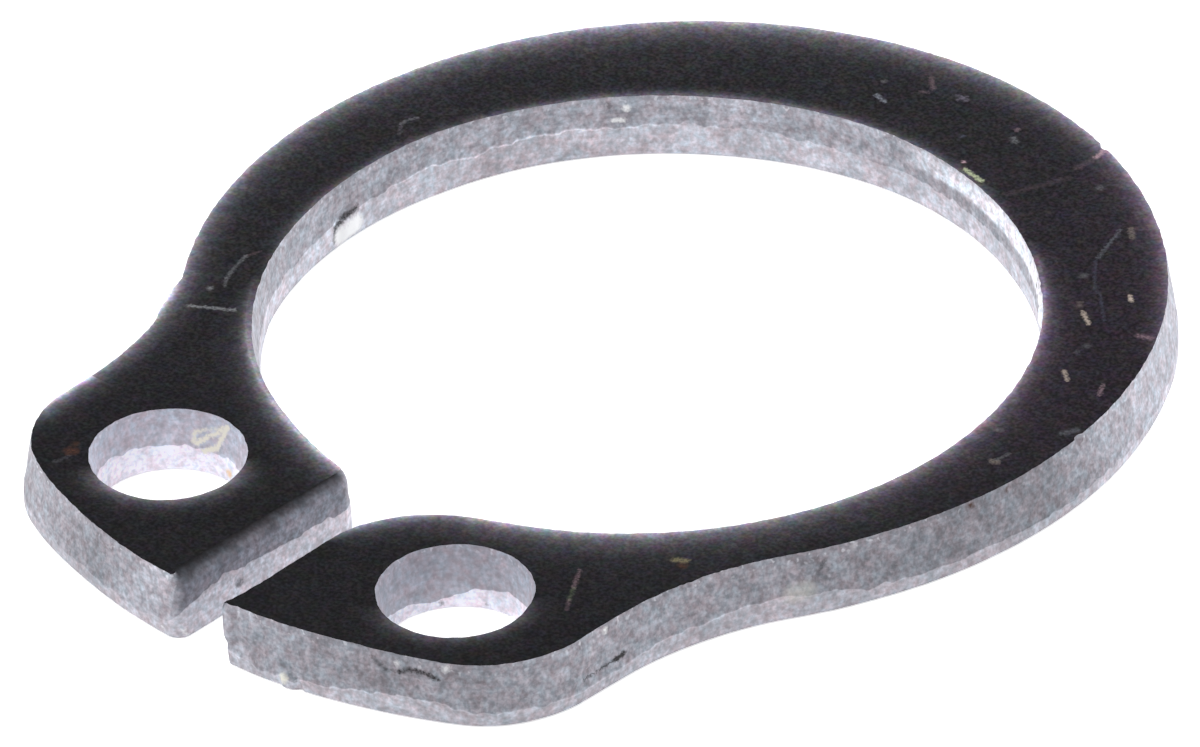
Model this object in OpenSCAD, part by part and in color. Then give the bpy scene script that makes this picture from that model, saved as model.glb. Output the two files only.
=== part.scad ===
/* [Ring] */
// Inside diameter of the relaxed ring, for a shaft 11 mm across
ring_d = 10.2; // [9.8:0.05:10.8]
// Thickness of the spring steel sheet
sheet_t = 0.91; // [0.7:0.01:1.2]
// Radial width opposite the gap, where the ring is widest
back_w = 1.98; // [1.6:0.01:2.2]
// Radial width that the ring tapers down to on the gap's side
front_w = 0.88; // [0.75:0.01:1.1]
// How far the inner edge's curve near the lugs is wider than the bore
ease_w = 1.14; // [0.8:0.02:1.3]
// Angle from the gap at which the inner edge leaves the bore's circle
ease_angle = 28.8; // [24:0.2:34]

/* [Lugs] */
// How far the lugs' ends stand out from the bore
lug_reach = 3.46; // [3.2:0.02:3.8]
// Width of a lug, from the gap to its side
lug_w = 4.21; // [4:0.01:4.4]
// Radius of a lug's outer corner
lug_corner_r = 1.6; // [1:0.05:1.9]
// Radius of the hollow neck between a lug and the ring
neck_r = 4.65; // [4:0.05:5.5]

/* [Plier holes] */
// Diameter of the plier holes
hole_d = 1.97; // [1.6:0.01:2.1]
// Distance of a hole's centre from the gap
hole_in = 2.11; // [2:0.01:2.2]
// Distance of a hole's centre from the bore, along the gap
hole_out = 1.3; // [1.2:0.01:1.4]

/* [Gap] */
// Width of the gap between the lugs
gap_w = 0.82; // [0.5:0.02:1]
// How far the gap lies to the right of the ring's centre line
gap_shift = 0.03; // [0:0.01:0.06]
// How far the right face leans back at the bottom
gap_draft = 0.05; // [0.02:0.01:0.1]
// Roll-over along the top of the left face
gap_roll = 0.18; // [0.1:0.01:0.24]
// Radius of the left lug's inner corner
left_corner_r = 0.3; // [0.15:0.01:0.5]
// Radius of the left lug's tip at the mouth of the gap
left_tip_r = 0.2; // [0.1:0.01:0.3]
// Radius of the right lug's inner corner
right_corner_r = 1.9; // [1.2:0.05:2.4]

/* [Stamped edge] */
// Width of the roll-over round the bottom face
roll_w = 0.08; // [0.03:0.01:0.12]
// Height of the roll-over
roll_h = 0.1; // [0.05:0.01:0.15]
// Height at which the smooth sheared land ends and the tapered break begins
land_h = 0.3; // [0.2:0.01:0.5]
// How far the break leans in at the top of the outer outline
outer_break = 0.11; // [0.02:0.01:0.15]
// How far the break opens at the top of the bore and the plier holes
inner_break = 0.06; // [0.02:0.01:0.1]

/* [Hidden] */
$fn = 180;
hole_fn = 72;
corner_fn = 48;
roll_steps = 3;
past = 1;
// How far two curves of the outline cross, instead of just touching
crossing = 0.003;
axis_c = [0, 0];
bore_r = ring_d / 2;
outer_r = (ring_d + back_w + front_w) / 2;
outer_c = [0, (back_w - front_w) / 2];
end_r = bore_r + lug_reach;
far = 2 * end_r;
side_x = gap_w / 2 + lug_w;
left_x = gap_shift - gap_w / 2;
right_x = gap_shift + gap_w / 2;
corner_c = [
    side_x - lug_corner_r,
    -sqrt(pow(end_r - lug_corner_r, 2) - pow(side_x - lug_corner_r, 2))
];
neck_c = [
    side_x + neck_r,
    outer_c.y - sqrt(pow(outer_r + neck_r, 2) - pow(side_x + neck_r, 2))
];
inner_r = bore_r + ease_w - crossing;
right_ease_c = ease_w * [-sin(ease_angle), cos(ease_angle)];
left_ease_c = ease_w * [sin(ease_angle), cos(ease_angle)];
hole_r = hole_d / 2;
hole_x = gap_w / 2 + hole_in;
hole_y = -bore_r - hole_out;
right_corner_c = on_circle(right_ease_c, inner_r + right_corner_r, right_x + right_corner_r);
left_corner_c = on_circle(left_ease_c, inner_r + left_corner_r, left_x - left_corner_r);
left_tip_c = on_circle(axis_c, end_r - left_tip_r, left_x - left_tip_r);

// The way from one point to another, one unit long
function way(a, b) = (b - a) / norm(b - a);

// The lower point of a circle at a given x
function on_circle(c, r, x) = [x, c.y - sqrt(r * r - pow(x - c.x, 2))];

// The stamped edge from the bottom face up, as [distance back from the outline, height]
function edge(taper) = [
    for (a = [0:90 / roll_steps:90]) [roll_w * (1 - sin(a)), roll_h * (1 - cos(a))],
    [0, land_h],
    [taper, sheet_t]
];

// A round piece of the outline, with the stamped edge all round it
module disc(c, r, taper = outer_break) {
    translate([c.x, c.y, 0])
        rotate_extrude()
            polygon([[0, 0], for (p = edge(taper)) [r - p[0], p[1]], [0, sheet_t]]);
}

// What a round punch takes out, wider at both faces by the stamped edge
module well(c, r, taper = inner_break) {
    translate([c.x, c.y, 0])
        rotate_extrude()
            polygon([
                [0, -past],
                [r + roll_w, -past],
                for (p = edge(taper)) [r + p[0], p[1]],
                [r + taper, sheet_t + past],
                [0, sheet_t + past]
            ]);
}

// The space above and below some points, through the whole sheet
module zone(points) {
    translate([0, 0, -past])
        linear_extrude(sheet_t + 2 * past)
            polygon(points);
}

// The end of a lug, an arc about the ring's axis up to the outer corner
module lug_end() {
    intersection() {
        disc(axis_c, end_r);
        zone([axis_c, far * way(axis_c, corner_c), [0, -far]]);
    }
}

// The straight stretch of a lug's side, between the outer corner and the neck
module lug_side() {
    top_y = neck_c.y + neck_r / 10;
    translate([0, top_y, 0])
        rotate([90, 0, 0])
            linear_extrude(top_y - corner_c.y)
                polygon([[0, 0], for (p = edge(outer_break)) [side_x - p[0], p[1]], [0, sheet_t]]);
}

// The hollow neck that runs from the ring's outer circle into the lug's side
module neck() {
    difference() {
        linear_extrude(sheet_t)
            polygon([outer_c, neck_c, [side_x, neck_c.y], [0, neck_c.y]]);
        well(neck_c, neck_r + crossing, outer_break);
    }
}

module lug() {
    lug_end();
    disc(corner_c, lug_corner_r + crossing);
    lug_side();
    neck();
}

// The bore, which widens out of its circle towards the gap
module bore() {
    well(axis_c, bore_r);
    for (c = [left_ease_c, right_ease_c])
        intersection() {
            well(c, inner_r);
            zone([axis_c, far * way(c, axis_c), [0, -far]]);
        }
}

// The gap, rolled over along the top of its left face and drafted on its right
module gap() {
    roll_x = left_x - gap_roll;
    roll_z = sheet_t - gap_roll;
    rotate([90, 0, 0])
        linear_extrude(far)
            difference() {
                polygon([
                    [left_x, -past],
                    [left_x, roll_z],
                    [roll_x, sheet_t],
                    [roll_x, sheet_t + past],
                    [right_x, sheet_t + past],
                    [right_x, sheet_t],
                    [right_x + gap_draft, 0],
                    [right_x + gap_draft, -past]
                ]);
                translate([roll_x, roll_z])
                    circle(r = gap_roll, $fn = corner_fn);
            }
}

// What rounds a lug's corner between the gap and the inner edge, up to the gap's middle
module inner_corner_cut(c, r, ease_c, side) {
    reach = r + gap_w / 2;
    difference() {
        zone([c, c - reach * [side, 0], [gap_shift, past - bore_r], c + reach * way(c, ease_c)]);
        disc(c, r + crossing, 0, $fn = corner_fn);
    }
}

// What rounds the left lug's tip at the mouth of the gap
module left_tip_cut() {
    reach = left_tip_r + gap_w / 2;
    difference() {
        zone([
            left_tip_c,
            left_tip_c + [reach, 0],
            left_tip_c + reach * [1, -1],
            left_tip_c + reach * way(axis_c, left_tip_c)
        ]);
        translate([left_tip_c.x, left_tip_c.y, -past])
            cylinder(r = left_tip_r + crossing, h = sheet_t + 2 * past, $fn = corner_fn);
    }
}

// The ring's outline with its bore and gap, before its inner corners are eased
module stamping() {
    difference() {
        union() {
            disc(outer_c, outer_r);
            for (side = [0, 1])
                mirror([side, 0, 0])
                    lug();
        }
        bore();
        gap();
    }
}

module ring() {
    color([0.16, 0.16, 0.17])
        difference() {
            stamping();
            inner_corner_cut(left_corner_c, left_corner_r, left_ease_c, -1);
            inner_corner_cut(right_corner_c, right_corner_r, right_ease_c, 1);
            left_tip_cut();
            for (side = [-1, 1])
                well([side * hole_x, hole_y], hole_r, $fn = hole_fn);
        }
}

ring();
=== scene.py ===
import math

import bpy
import numpy as np
from mathutils import Matrix, Vector
from mathutils.geometry import delaunay_2d_cdt


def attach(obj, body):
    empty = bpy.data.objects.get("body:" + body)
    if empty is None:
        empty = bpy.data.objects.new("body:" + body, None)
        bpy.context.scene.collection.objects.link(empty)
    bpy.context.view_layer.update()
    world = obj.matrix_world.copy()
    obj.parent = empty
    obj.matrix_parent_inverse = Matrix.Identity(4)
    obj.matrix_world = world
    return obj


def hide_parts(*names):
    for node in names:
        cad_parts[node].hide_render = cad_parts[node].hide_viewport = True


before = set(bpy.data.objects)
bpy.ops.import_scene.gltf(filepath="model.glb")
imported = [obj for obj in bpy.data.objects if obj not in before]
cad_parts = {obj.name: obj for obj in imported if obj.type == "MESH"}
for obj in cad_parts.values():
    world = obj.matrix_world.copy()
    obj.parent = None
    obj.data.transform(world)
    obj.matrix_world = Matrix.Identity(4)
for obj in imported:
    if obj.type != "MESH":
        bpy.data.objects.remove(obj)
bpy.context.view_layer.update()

MM = 0.001

# Sizes of the ring, in millimetres
BORE_R = 5.1
SHEET_T = 0.91
OUTER_R = 6.53
OUTER_C = (0.0, 0.55)
END_R = 8.56
SIDE_X = 4.62
CORNER_R = 1.6
NECK_R = 4.65
EASE_W = 1.14
EASE_ANGLE = math.radians(28.8)
LEFT_X = -0.38
RIGHT_X = 0.44
GAP_DRAFT = 0.05
LEFT_CORNER_R = 0.3
LEFT_TIP_R = 0.2
RIGHT_CORNER_R = 1.9
HOLE_R = 0.985
HOLE_X = 2.52
HOLE_Y = -6.4
ROLL_W = 0.055
ROLL_H = 0.07
OUTER_BREAK = 0.095
INNER_BREAK = 0.07
# The roll-over at the bottom of the gap's faces
GAP_FOOT_W, GAP_FOOT_H = 0.03, 0.04
# The roll-over of the gap's left face, at the gap's mouth and at its inner end
GAP_ROLL_Y, GAP_ROLL_R = (-8.3, -5.3), (0.24, 0.14)
# Over this length from the right lug's sharp tip, its two walls share one direction
TIP_REACH = 0.08

# The punch stood a little off centre, so the break is deeper on one side
OFF_SIDE = np.array((0.693, -0.721))
OUTER_BREAK_CHANGE = 0.045
INNER_BREAK_CHANGE = -0.06

CORNER_C = (SIDE_X - CORNER_R,
            -math.sqrt((END_R - CORNER_R) ** 2 - (SIDE_X - CORNER_R) ** 2))
NECK_C = (SIDE_X + NECK_R,
          OUTER_C[1] - math.sqrt((OUTER_R + NECK_R) ** 2 - (SIDE_X + NECK_R) ** 2))
EASE_R = BORE_R + EASE_W
RIGHT_EASE_C = (-EASE_W * math.sin(EASE_ANGLE), EASE_W * math.cos(EASE_ANGLE))
LEFT_EASE_C = (-RIGHT_EASE_C[0], RIGHT_EASE_C[1])


def on_circle(c, r, x):
    """The lower point of a circle at a given x."""
    return (x, c[1] - math.sqrt(r * r - (x - c[0]) ** 2))


RIGHT_CORNER_C = on_circle(RIGHT_EASE_C, EASE_R + RIGHT_CORNER_R, RIGHT_X + RIGHT_CORNER_R)
LEFT_CORNER_C = on_circle(LEFT_EASE_C, EASE_R + LEFT_CORNER_R, LEFT_X - LEFT_CORNER_R)
LEFT_TIP_C = on_circle((0.0, 0.0), END_R - LEFT_TIP_R, LEFT_X - LEFT_TIP_R)


def direction(a, b):
    """The angle of the way from a to b."""
    return math.atan2(b[1] - a[1], b[0] - a[0])


def mirrored(c):
    """The same place on the other side of the ring."""
    return (-c[0], c[1])


def smooth(t):
    """An eased step from 0 to 1."""
    t = np.clip(t, 0, 1)
    return t * t * (3 - 2 * t)


def noise_field(seed, length, height, cell_s, cell_z):
    """Smooth random values from -1 to 1 on a strip that closes after length."""
    rng = np.random.default_rng(seed)
    ns = max(4, int(round(length / cell_s)))
    nz = max(2, int(math.ceil(height / cell_z)) + 2)
    grid = rng.uniform(-1, 1, (ns, nz))

    def value(s, z):
        u = (s / length * ns) % ns
        v = np.clip(z / cell_z, 0, nz - 1.001)
        i, j = np.floor(u).astype(int) % ns, np.floor(v).astype(int)
        fu, fv = smooth(u - np.floor(u)), smooth(v - np.floor(v))
        i2 = (i + 1) % ns
        return ((grid[i, j] * (1 - fu) + grid[i2, j] * fu) * (1 - fv)
                + (grid[i, j + 1] * (1 - fu) + grid[i2, j + 1] * fu) * fv)
    return value


# The outline: samples every STEP millimetres, counterclockwise from the right lug's tip
STEP = 0.03


class Arc:
    """Part of a circle. side is 1 where the steel is inside it and -1 where it is outside."""

    def __init__(self, c, r, a0, a1, side, kind, kind_end=None):
        self.c, self.r, self.a0, self.a1, self.side = c, r, a0, a1, side
        self.kind, self.kind_end = kind, kind_end or kind
        self.length = abs(a1 - a0) * r

    def at(self, t):
        a = self.a0 + (self.a1 - self.a0) * t
        u = np.column_stack([np.cos(a), np.sin(a)])
        return np.array(self.c) + self.r * u, u * self.side


class Line:
    """A straight piece of the outline."""

    def __init__(self, p0, p1, normal, kind):
        self.p0, self.p1, self.n = np.array(p0), np.array(p1), np.array(normal)
        self.kind = self.kind_end = kind
        self.length = float(np.linalg.norm(self.p1 - self.p0))

    def at(self, t):
        return self.p0 + (self.p1 - self.p0) * t[:, None], np.repeat(self.n[None], len(t), 0)


RIGHT_TIP = (RIGHT_X, -math.sqrt(END_R ** 2 - RIGHT_X ** 2))
A_TIP = direction((0, 0), RIGHT_TIP)
A_CORNER = direction((0, 0), CORNER_C)
A_NECK = direction(NECK_C, OUTER_C) % (2 * math.pi)
A_OUT = direction(OUTER_C, NECK_C)
A_LEFT_TIP = direction((0, 0), LEFT_TIP_C)

SEGMENTS = [
    Arc((0, 0), END_R, A_TIP, A_CORNER, 1, "outer"),
    Arc(CORNER_C, CORNER_R, A_CORNER, 0.0, 1, "outer"),
    Line((SIDE_X, CORNER_C[1]), (SIDE_X, NECK_C[1]), (1.0, 0.0), "outer"),
    Arc(NECK_C, NECK_R, math.pi, A_NECK, -1, "outer"),
    Arc(OUTER_C, OUTER_R, A_OUT, math.pi - A_OUT, 1, "outer"),
    Arc(mirrored(NECK_C), NECK_R, math.pi - A_NECK, 0.0, -1, "outer"),
    Line((-SIDE_X, NECK_C[1]), (-SIDE_X, CORNER_C[1]), (-1.0, 0.0), "outer"),
    Arc(mirrored(CORNER_C), CORNER_R, math.pi, math.pi - A_CORNER, 1, "outer"),
    Arc((0, 0), END_R, -math.pi - A_CORNER, A_LEFT_TIP, 1, "outer"),
    Arc(LEFT_TIP_C, LEFT_TIP_R, A_LEFT_TIP, 0.0, 1, "outer", "left"),
    Line((LEFT_X, LEFT_TIP_C[1]), (LEFT_X, LEFT_CORNER_C[1]), (1.0, 0.0), "left"),
    Arc(LEFT_CORNER_C, LEFT_CORNER_R, 0.0, direction(LEFT_CORNER_C, LEFT_EASE_C), 1,
        "left", "inner"),
    Arc(LEFT_EASE_C, EASE_R, direction(LEFT_EASE_C, LEFT_CORNER_C), -math.pi / 2 - EASE_ANGLE,
        -1, "inner"),
    Arc((0, 0), BORE_R, -math.pi / 2 - EASE_ANGLE, -math.pi * 2.5 + EASE_ANGLE, -1, "inner"),
    Arc(RIGHT_EASE_C, EASE_R, -math.pi / 2 + EASE_ANGLE, direction(RIGHT_EASE_C, RIGHT_CORNER_C),
        -1, "inner"),
    Arc(RIGHT_CORNER_C, RIGHT_CORNER_R, direction(RIGHT_CORNER_C, RIGHT_EASE_C), math.pi, 1,
        "inner", "right"),
    Line((RIGHT_X, RIGHT_CORNER_C[1]), RIGHT_TIP, (-1.0, 0.0), "right"),
]

# Height of the smooth land at places along the outline and the plier holes: x, y, height
OUTLINE_LAND = [
    (0.94, -8.51, 0.15), (1.59, -8.41, 0.19), (2.44, -8.20, 0.29), (2.97, -8.02, 0.31),
    (3.32, -7.87, 0.35), (3.67, -7.73, 0.28), (3.99, -7.55, 0.22), (4.53, -6.81, 0.20),
    (4.62, -5.90, 0.20), (4.74, -4.63, 0.30), (4.91, -4.08, 0.33), (5.24, -3.35, 0.37),
    (5.66, -2.71, 0.31), (5.90, -2.25, 0.21), (6.29, -1.20, 0.20), (6.51, 0.03, 0.17),
    (6.45, 1.58, 0.16), (6.20, 2.61, 0.16), (0.0, 7.08, 0.22), (-6.50, 0.5, 0.20),
    (-4.62, -6.0, 0.22), (-3.68, -7.73, 0.20), (-2.38, -8.22, 0.21), (-1.09, -8.49, 0.17),
    (-0.60, -8.53, 0.24), (-0.39, -8.40, 0.46), (-0.38, -8.12, 0.51), (-0.38, -7.89, 0.57),
    (-0.38, -7.71, 0.60), (-0.38, -7.36, 0.54), (-0.38, -6.93, 0.50), (-0.38, -6.28, 0.46),
    (-0.38, -5.57, 0.42), (-0.60, -4.98, 0.40), (-3.50, -3.70, 0.36), (-5.11, 0.02, 0.39),
    (-5.00, 1.07, 0.47), (-4.76, 1.85, 0.40), (-4.40, 2.61, 0.46), (-3.39, 3.83, 0.47),
    (-2.51, 4.46, 0.47), (-2.04, 4.68, 0.44), (-1.31, 4.94, 0.41), (-0.49, 5.08, 0.38),
    (0.46, 5.09, 0.41), (2.40, 4.55, 0.40), (4.40, 2.60, 0.38), (5.10, 0.0, 0.35),
    (3.50, -3.90, 0.30), (1.40, -5.10, 0.36), (0.44, -6.50, 0.45), (0.44, -8.0, 0.40),
]
LEFT_HOLE_LAND = [(-3.48, -6.67, 0.46), (-3.51, -6.33, 0.41), (-3.42, -5.98, 0.38),
                  (-3.0, -5.53, 0.37), (-2.68, -5.42, 0.38), (-1.60, -6.0, 0.36),
                  (-2.0, -7.2, 0.34)]
RIGHT_HOLE_LAND = [(1.54, -6.48, 0.24), (1.61, -6.03, 0.15), (1.81, -5.72, 0.17),
                   (2.05, -5.54, 0.28), (2.30, -5.44, 0.32), (2.68, -5.42, 0.36),
                   (3.40, -6.0, 0.36), (2.6, -7.35, 0.34)]
LAND_LOWEST = 0.125

# How far the sheared walls wander out from their outline: x, y, at the top, at the bottom
OUTLINE_WANDER = [
    (0.44, -8.54, 0.03, -0.02), (1.07, -8.49, 0.035, 0.005), (2.34, -8.23, 0.01, -0.01),
    (3.55, -7.79, 0.06, -0.02), (4.49, -6.91, 0.01, -0.035), (4.62, -5.64, 0.04, 0.025),
    (4.81, -4.37, 0.045, 0.035), (5.35, -3.2, 0.03, 0.025), (5.98, -2.08, -0.01, 0),
    (6.38, -0.85, -0.01, 0.01), (6.53, 0.43, 0.005, 0.02), (6.42, 1.74, 0.005, 0.035),
    (6.06, 2.98, 0.02, 0.03), (5.47, 4.12, 0.02, 0.04), (4.66, 5.12, 0.005, 0.01),
    (3.67, 5.95, -0.005, -0.005), (2.54, 6.57, -0.01, -0.01), (0.03, 7.08, -0.015, -0.015),
    (-2.51, 6.58, -0.025, -0.025), (-4.64, 5.14, -0.025, -0.025), (-6.05, 3, -0.015, -0.015),
    (-6.53, 0.49, -0.005, -0.005), (-5.99, -2.05, 0, 0), (-4.82, -4.34, 0, 0),
    (-4.62, -5.61, -0.015, -0.01), (-4.5, -6.88, -0.01, 0.04), (-3.61, -7.76, 0.02, 0.045),
    (-2.4, -8.22, 0.015, 0.01), (-1.13, -8.48, 0.02, 0.005), (-0.38, -7.89, 0, 0.03),
    (-0.4, -5.31, 0.01, 0.03), (-1.58, -4.87, 0.045, 0.07), (-2.74, -4.3, 0.04, 0.07),
    (-3.73, -3.48, 0.05, 0.06), (-4.48, -2.43, 0.05, 0.01), (-4.95, -1.23, 0.035, 0.025),
    (-5.1, 0.04, 0.005, 0.04), (-4.93, 1.32, -0.025, 0.055), (-4.42, 2.54, 0.01, 0.04),
    (-3.65, 3.56, 0.02, 0.05), (-2.64, 4.36, 0.04, 0.06), (-1.46, 4.89, 0.025, 0.04),
    (-0.2, 5.1, 0.01, 0.01), (1.09, 4.98, 0.03, 0.01), (2.3, 4.55, 0.035, 0.01),
    (3.37, 3.83, 0.02, -0.025), (4.22, 2.87, -0.015, -0.065), (4.8, 1.72, -0.025, -0.07),
    (5.08, 0.43, -0.025, -0.03), (4.65, -2.08, -0.01, -0.01), (3.06, -4.08, 0.015, 0.015),
    (1.94, -4.72, 0.025, 0.025), (0.86, -5.42, 0.015, 0.015), (0.44, -6.61, -0.015, 0),
    (0.44, -7.89, -0.01, 0),
]
LEFT_HOLE_WANDER = [
    (-1.58, -6.7, 0.045, 0.045), (-1.94, -7.2, 0.03, 0.03), (-2.5, -7.38, 0.045, 0.045),
    (-3.1, -7.2, 0.035, 0.035), (-3.46, -6.7, -0.015, 0.02), (-3.46, -6.1, -0.04, 0.025),
    (-3.1, -5.6, -0.04, 0.035), (-2.54, -5.42, -0.025, 0.03), (-1.94, -5.6, 0.025, 0.03),
    (-1.58, -6.1, 0.045, 0.045),
]
RIGHT_HOLE_WANDER = [
    (3.46, -6.7, 0.035, 0.035), (3.1, -7.2, 0.05, 0.05), (2.54, -7.38, 0.065, 0.065),
    (1.94, -7.2, 0.05, 0.05), (1.58, -6.7, -0.01, 0.02), (1.58, -6.1, -0.07, 0.04),
    (1.94, -5.6, -0.08, 0.035), (2.5, -5.42, -0.04, 0.025), (3.1, -5.6, 0.01, 0.02),
    (3.46, -6.1, 0.05, 0.05),
]

# Dents and bulges of the walls: x, y, half length along the wall, z from, z to, height
BULGES = [
    (-4.98, -3.77, 0.55, -1.0, 2.0, 0.055),
    (-2.30, -8.25, 2.2, -1.0, 2.0, 0.03),
    (1.40, -8.44, 0.12, -0.2, 0.28, 0.035),
    (1.57, -8.42, 0.05, -0.2, 0.22, -0.035),
    (2.09, 6.74, 0.10, 0.62, 1.2, -0.04),
    (0.44, -8.54, 0.16, 0.30, 1.02, 0.06),
    (-5.10, -0.27, 0.22, 0.05, 0.36, 0.05),
    (-5.10, -0.40, 0.20, 0.34, 0.56, -0.03),
    (3.55, -7.77, 0.07, 0.72, 0.95, 0.02),
    (4.62, -5.93, 0.40, 0.34, 0.46, -0.025),
    (6.42, 1.34, 0.10, 0.75, 1.1, -0.04),
    (-0.38, -7.45, 0.07, 0.34, 0.50, -0.04),
    (5.62, -2.85, 0.10, 0.48, 0.72, -0.02),
    (3.65, 3.60, 0.14, 0.62, 0.95, 0.04),
    (3.92, 3.38, 0.14, 0.55, 0.92, 0.05),
]
# How steeply they rise at their borders
BULGE_STEEPNESS = 1.6

# Near this place the top edge is torn into fine teeth
TEETH_AT, TEETH_REACH, TEETH_H = np.array((5.0, -4.1)), 1.3, 0.014
TEETH_LENGTH, TEETH_FROM, TEETH_RISE = 0.055, 0.68, 0.2

# Raggedness of the land's border: length of a wave, height
LAND_NOISE = [(0.9, 0.015), (0.13, 0.03), (0.05, 0.01)]
# Waviness of the walls: length along, length up, height on the land, height on the break,
# and how deep the break is torn on average
WALL_NOISE = [(0.35, 0.2, 0.002, 0.002), (0.12, 0.09, 0.001, 0.0045), (0.06, 0.05, 0.0, 0.0045)]
TORN_DEPTH = 0.004


def rolled(z, w, h):
    """How far a roll-over at the bottom face leans in at height z."""
    k = np.clip(1 - z / h, 0, 1)
    return w * (1 - np.sqrt(1 - k * k))


def inset(kind, z, land, off, gap_roll):
    """How far back from the outline the wall stands at height z."""
    up = np.clip((z - land) / (SHEET_T - land), 0, 1)
    if kind == "outer":
        return rolled(z, ROLL_W, ROLL_H) + (OUTER_BREAK + OUTER_BREAK_CHANGE * off) * up
    if kind == "inner":
        return rolled(z, ROLL_W, ROLL_H) + (INNER_BREAK + INNER_BREAK_CHANGE * off) * up
    if kind == "right":
        return rolled(z, GAP_FOOT_W, GAP_FOOT_H) + GAP_DRAFT * (1 - z / SHEET_T)
    k = np.clip((z - SHEET_T + gap_roll) / gap_roll, 0, 1)
    return rolled(z, GAP_FOOT_W, GAP_FOOT_H) + gap_roll * (1 - np.sqrt(np.clip(1 - k * k, 0, 1)))


class Loop:
    """Sample places along one closed loop of wall."""

    def place(self, points):
        """The distances along the loop of the samples nearest to some points."""
        d = self.base[:, None] - np.array(points)[None]
        return self.s[(d ** 2).sum(2).argmin(0)]

    def spread(self, table):
        """The columns of a table of places, each carried over to every sample."""
        at = self.place([row[:2] for row in table])
        order = np.argsort(at)
        return [np.interp(self.s, at[order], np.array(column)[order], period=self.length)
                for column in zip(*(row[2:] for row in table))]

    def measure(self, land, wander):
        """Takes the land's height and the wall's wandering from their tables."""
        self.land_mid, = self.spread(land)
        self.out_top, self.out_bottom = self.spread(wander)

    def apart(self, point):
        """How far along the loop every sample is from the sample nearest to a point."""
        d = np.abs(self.s - self.place([point])[0])
        return np.minimum(d, self.length - d)


class Outline(Loop):
    """The ring's one closed outline, with its gap and its inner edge."""

    def __init__(self):
        t, seg, s, base, nor = [], [], [], [], []
        run = 0.0
        for i, g in enumerate(SEGMENTS):
            n = max(4, int(round(g.length / STEP)))
            ti = np.arange(n) / n
            p, v = g.at(ti)
            t.append(ti)
            seg.append(np.full(n, i))
            s.append(run + ti * g.length)
            base.append(p)
            nor.append(v)
            run += g.length
        self.t, self.seg, self.s = map(np.concatenate, (t, seg, s))
        self.base, self.nor = np.concatenate(base), np.concatenate(nor)
        self.length, self.count = run, len(self.t)
        self.gap_roll = np.interp(self.base[:, 1], GAP_ROLL_Y, GAP_ROLL_R)
        self.measure(OUTLINE_LAND, OUTLINE_WANDER)
        self.teeth = smooth(1 - self.apart(TEETH_AT) / TEETH_REACH)

    def wall(self, z, land):
        off = self.nor @ OFF_SIDE
        d = sum(self.kinds(k) * inset(k, z, land, off, self.gap_roll)
                for k in ("outer", "inner", "left", "right"))
        pos = self.base - self.nor * d[:, None]
        # the right lug's sharp tip, where the end and the gap's face meet
        x = RIGHT_X + inset("right", z, land, off, self.gap_roll)
        r = END_R - inset("outer", z, land, off, self.gap_roll)
        m = self.seg == 0
        a0 = np.arcsin(x[m] / r[m]) - math.pi / 2
        a = a0 + (SEGMENTS[0].a1 - a0) * self.t[m]
        pos[m] = r[m, None] * np.column_stack([np.cos(a), np.sin(a)])
        m = self.seg == len(SEGMENTS) - 1
        y0, y1 = SEGMENTS[-1].p0[1], -np.sqrt(r[m] ** 2 - x[m] ** 2)
        pos[m] = np.column_stack([x[m], y0 + (y1 - y0) * self.t[m]])
        near = np.minimum(self.s, self.length - self.s)
        w = np.clip(1 - near / TIP_REACH, 0, 1)[:, None]
        nor = self.nor * (1 - w) - math.sqrt(0.5) * w
        return pos, nor / np.linalg.norm(nor, axis=1)[:, None]

    def kinds(self, kind):
        """1 where a place is of that kind, blended over the arcs that join two kinds."""
        out = np.zeros(self.count)
        for i, g in enumerate(SEGMENTS):
            m = self.seg == i
            w = smooth(self.t[m])
            out[m] = (g.kind == kind) * (1 - w) + (g.kind_end == kind) * w
        return out


class Hole(Loop):
    """The wall of a plier hole."""

    def __init__(self, x, y, land, wander, tone):
        self.tone = tone
        self.length = 2 * math.pi * HOLE_R
        self.count = int(self.length / STEP)
        self.s = np.arange(self.count) / self.count * self.length
        u = np.column_stack([np.cos(-self.s / HOLE_R), np.sin(-self.s / HOLE_R)])
        self.base, self.nor = np.array((x, y)) + u * HOLE_R, -u
        self.measure(land, wander)
        self.teeth = self.gap_roll = np.zeros(self.count)

    def wall(self, z, land):
        d = inset("inner", z, land, self.nor @ OFF_SIDE, self.gap_roll)
        return self.base - self.nor * d[:, None], self.nor

    def kinds(self, kind):
        return np.full(self.count, float(kind == "inner"))


# Colours of the bare sheared steel. The break is rough and darker than the smooth land.
BREAK_COLOUR = np.array((0.335, 0.335, 0.365))
LAND_COLOUR = np.array((0.46, 0.455, 0.49))
GAP_BAND = np.array((0.235, 0.24, 0.275))
COAT = np.array((0.010, 0.0095, 0.010))
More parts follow.
